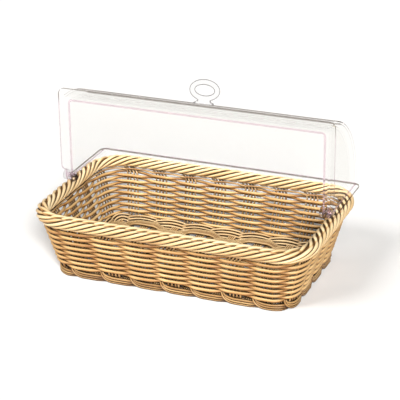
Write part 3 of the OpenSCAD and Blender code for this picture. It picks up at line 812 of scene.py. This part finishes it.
front_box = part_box("front_shell")
front_half_x = 191 * mm
front_r = 120.5 * mm
front_plain = 4.9 * mm
front_cut = math.degrees(math.asin(front_plain / ear_r))
front_foot = [(-heel, lip_end), (-heel, 0.0)] + ear(180, 360 - front_cut)
front_cover = shell_sheet("front_cover_moulding", front_half_x, front_r, front_box[1].x,
                          front_box[1].z - axis_z, front_plain, front_foot,
                          lambda x, p, q: (x, p, axis_z + q))
front_cover.data.materials.append(
    clear_plastic("front_acrylic", (0.98, 0.98, 0.975), 0.02, (0.8, 0.85), (0.2, 0.17, 0.155)))
front_cover.data.materials.append(cut_edge("front_acrylic_edge", 104 * mm, 116 * mm))
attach(front_cover, "front_cover")
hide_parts("front_shell")

# ---- Ring handle ----
# An oval finger ring of clear acrylic on a short neck and a flat base, glued to the top of the front
# shell. It leans back with the curve of the shell.

ring_tilt = math.radians(15.4)
ring_l, ring_h, ring_band, ring_t = 43.5 * mm, 29.4 * mm, 7.6 * mm, 7 * mm
base_l, base_w, base_h = 27 * mm, 9 * mm, 2.5 * mm
base_slope = 0.8 * mm
neck_l, neck_h = 17 * mm, 1.45 * mm
neck_flare = 1.5 * mm
neck_taper = 0.6 * mm
sink_in_base, sink_in_ring = 0.6 * mm, 2.6 * mm
seat = 0.3 * mm
around, across = 72, 24

ring_rise = seat + base_h + neck_h + ring_h / 2
half_l, half_h = (ring_l - ring_band) / 2, (ring_h - ring_band) / 2
ring_mesh = bmesh.new()
rows = []
for a in np.linspace(0, 2 * math.pi, around, endpoint=False):
    way = Vector((half_h * math.cos(a), 0, half_l * math.sin(a))).normalized() * ring_band / 2
    at = Vector((half_l * math.cos(a), 0, half_h * math.sin(a)))
    thick = Vector((0, ring_t / 2, 0))
    rows.append([ring_mesh.verts.new(at + way * math.cos(b) + thick * math.sin(b))
                 for b in np.linspace(0, 2 * math.pi, across, endpoint=False)])
for row, after in zip(rows, rows[1:] + rows[:1]):
    for j in range(across):
        k = (j + 1) % across
        ring_mesh.faces.new((row[j], after[j], after[k], row[k]))


def block(mesh, low_half, high_half, z0, z1):
    """A block that tapers from its lower to its upper rectangle."""
    corners = ((1, 1), (-1, 1), (-1, -1), (1, -1))
    low = [mesh.verts.new((low_half[0] * a, low_half[1] * b, z0)) for a, b in corners]
    high = [mesh.verts.new((high_half[0] * a, high_half[1] * b, z1)) for a, b in corners]
    mesh.faces.new(low[::-1])
    mesh.faces.new(high)
    for i in range(4):
        mesh.faces.new((low[i], low[(i + 1) % 4], high[(i + 1) % 4], high[i]))


base_z = seat - ring_rise
base_top = base_z + base_h
block(ring_mesh, (base_l / 2, base_w / 2), (base_l / 2 - base_slope, base_w / 2 - base_slope),
      base_z, base_top)
block(ring_mesh, (neck_l / 2 + neck_flare, ring_t / 2), (neck_l / 2, ring_t / 2 - neck_taper),
      base_top - sink_in_base, base_top + neck_h + sink_in_ring)
bmesh.ops.recalc_face_normals(ring_mesh, faces=ring_mesh.faces)
ring_data = bpy.data.meshes.new("finger_ring")
ring_mesh.to_mesh(ring_data)
ring_mesh.free()
ring = bpy.data.objects.new("finger_ring", ring_data)
bpy.context.scene.collection.objects.link(ring)
fuse = ring.modifiers.new("fuse", "REMESH")
fuse.mode, fuse.voxel_size, fuse.use_smooth_shade = "VOXEL", 0.42 * mm, True
ease = ring.modifiers.new("ease", "SMOOTH")
ease.factor, ease.iterations = 0.5, 8
ring.matrix_world = (Matrix.Translation((0, 0, axis_z)) @ Matrix.Rotation(-ring_tilt, 4, "X")
                     @ Matrix.Translation((0, 0, front_r + ring_rise)))
ring_data.materials.append(
    clear_plastic("ring_acrylic", (0.96, 0.96, 0.965), 0.03, (0.26, 0.56), (0.13, 0.12, 0.125)))
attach(ring, "front_cover")
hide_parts("ring_handle")

# ---- Pivots ----
# At each end a clear pin with a round head passes through both shells. A washer keeps the shells
# apart, and a domed cap closes the pin on the inside.

head_r = 7 * mm
pin_r = 3 * mm
pin_chamfer = 0.4 * mm
head_t = 5 * mm
cap_t = 4.2 * mm
shank_in = 177.5 * mm
edge_cut = 0.3 * mm
cap_to_pin = 0.1 * mm
washer_gap = 0.3 * mm
turned_steps = 40
pivot_clear = clear_plastic("pivot_acrylic", (0.93, 0.92, 0.93), 0.06, (0.5, 0.9), (0.34, 0.31, 0.33))


def turned(name, outline, closed_ring):
    """A piece turned round the roll axis, at both ends. outline: (x, radius) pairs."""
    mesh = bmesh.new()
    for sign in (1, -1):
        rings = []
        for x, d in outline:
            turns = np.linspace(0, 2 * math.pi, turned_steps if d else 1, endpoint=False)
            rings.append([mesh.verts.new((sign * x, d * math.cos(a), axis_z + d * math.sin(a)))
                          for a in turns])
        pairs = list(zip(rings[:-1], rings[1:])) + ([(rings[-1], rings[0])] if closed_ring else [])
        for a, b in pairs:
            for j in range(turned_steps):
                k = (j + 1) % turned_steps
                corners = [a[j % len(a)], a[k % len(a)], b[k % len(b)], b[j % len(b)]]
                mesh.faces.new(list(dict.fromkeys(corners)))
    bmesh.ops.recalc_face_normals(mesh, faces=mesh.faces)
    data = bpy.data.meshes.new(name)
    mesh.to_mesh(data)
    mesh.free()
    data.shade_smooth()
    data.set_sharp_from_angle(angle=math.radians(40))
    made = bpy.data.objects.new(name, data)
    bpy.context.scene.collection.objects.link(made)
    made.data.materials.append(pivot_clear)
    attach(made, "rear_cover")
    return made


def dome(tip, way):
    """Outline of a domed face, from its rim to the flat at its tip. way is 1 where it looks outward."""
    steps = ((1.5, 0), (0.9, 0.2), (0.3, 0.9), (0, 2))
    return [(tip - way * back * mm, head_r - down * mm) for back, down in steps]


pin_out, cap_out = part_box("pivot_pins")[1].x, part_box("pivot_caps")[1].x
head_in = pin_out - head_t
pin_outline = [(shank_in, 0), (shank_in, pin_r - pin_chamfer), (shank_in + pin_chamfer, pin_r),
               (head_in, pin_r), (head_in, head_r - edge_cut), (head_in + edge_cut, head_r),
               *dome(pin_out, 1), (pin_out, 0)]
pins = turned("pivot_pins_turned", pin_outline, False)
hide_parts("pivot_pins")

cap_in = cap_out - cap_t
cap_floor = shank_in - cap_to_pin
cap_outline = [(cap_in, 0), *dome(cap_in, -1)[::-1], (cap_out - edge_cut, head_r),
               (cap_out, head_r - edge_cut), (cap_out, bore_r), (cap_floor, bore_r), (cap_floor, 0)]
caps = turned("pivot_caps_domed", cap_outline, False)
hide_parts("pivot_caps")

washer_in, washer_out = rear_half_x + washer_gap, front_half_x - wall - washer_gap
washer_outline = [(washer_in, bore_r), (washer_in, head_r - edge_cut), (washer_in + edge_cut, head_r),
                  (washer_out - edge_cut, head_r), (washer_out, head_r - edge_cut), (washer_out, bore_r)]
washers = turned("pivot_washers", washer_outline, True)
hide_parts("pivot_spacers")

# ---- Camera ----
# A long lens from the front right, a little above the basket. Its place comes from a fit to the
# corners of the rim, the foot and the shells.

azimuth, elevation, roll = math.radians(22.1202), math.radians(23.4667), math.radians(-0.6832)
distance = 2.175
aim = Vector((0.006307, 0, 0.095951))
back = Vector((math.sin(azimuth) * math.cos(elevation), -math.cos(azimuth) * math.cos(elevation),
               math.sin(elevation)))
right = Vector((math.cos(azimuth), math.sin(azimuth), 0))
up = back.cross(right)
right, up = right * math.cos(roll) + up * math.sin(roll), up * math.cos(roll) - right * math.sin(roll)
camera = bpy.data.objects.new("photo_camera", bpy.data.cameras.new("photo_camera"))
bpy.context.scene.collection.objects.link(camera)
camera.data.lens = 144.845
camera.data.sensor_width = 36
facing = Matrix((right, up, back)).transposed().to_4x4()
camera.matrix_world = Matrix.Translation(aim + back * distance) @ facing
bpy.context.scene.camera = camera

# ---- Counter and lamps ----
# A white painted counter, and two broad studio lamps in front of it: the stronger one at the right,
# and a weak one at the left that opens up the shadows.

counter_half = 6
counter = bpy.data.objects.new("counter", bpy.data.meshes.new("counter"))
counter_corners = [(a * counter_half, b * counter_half, 0) for a, b in ((-1, -1), (1, -1), (1, 1), (-1, 1))]
counter.data.from_pydata(counter_corners, [], [(0, 1, 2, 3)])
bpy.context.scene.collection.objects.link(counter)
paint = bpy.data.materials.new("counter_paint")
paint.use_nodes = True
add, skin, links = node_maker(paint)
where = add("TexCoord")
cloud = add("TexNoise", Vector=where.outputs["Object"], Scale=3.0, Detail=2.0)
shade = add("ValToRGB", Fac=cloud.outputs["Fac"])
shade.color_ramp.elements[0].color = (0.955, 0.955, 0.955, 1)
shade.color_ramp.elements[1].color = (0.975, 0.975, 0.975, 1)
links.new(shade.outputs["Color"], skin.inputs["Base Color"])
skin.inputs["Roughness"].default_value = 0.7
counter.data.materials.append(paint)

world = bpy.data.worlds.new("studio")
bpy.context.scene.world = world
world.use_nodes = True
world.node_tree.nodes["Background"].inputs["Color"].default_value = (1.0, 0.99, 0.97, 1)
world.node_tree.nodes["Background"].inputs["Strength"].default_value = 0.05


def soft_lamp(name, turn, height, spread, power):
    """A broad lamp far off. turn is degrees from the front towards the right, height is degrees up."""
    light = bpy.data.objects.new(name, bpy.data.lights.new(name, "SUN"))
    light.data.energy, light.data.color, light.data.angle = power, (1.0, 0.985, 0.96), math.radians(spread)
    a, e = math.radians(turn), math.radians(height)
    way = Vector((math.sin(a) * math.cos(e), -math.cos(a) * math.cos(e), math.sin(e)))
    light.matrix_world = Matrix.Translation(way * 3) @ way.to_track_quat("Z", "Y").to_matrix().to_4x4()
    bpy.context.scene.collection.objects.link(light)


soft_lamp("left_lamp", turn=-35, height=42, spread=25, power=1.8)
soft_lamp("right_lamp", turn=30, height=30, spread=18, power=4.6)
bpy.context.scene.view_settings.view_transform = "Standard"
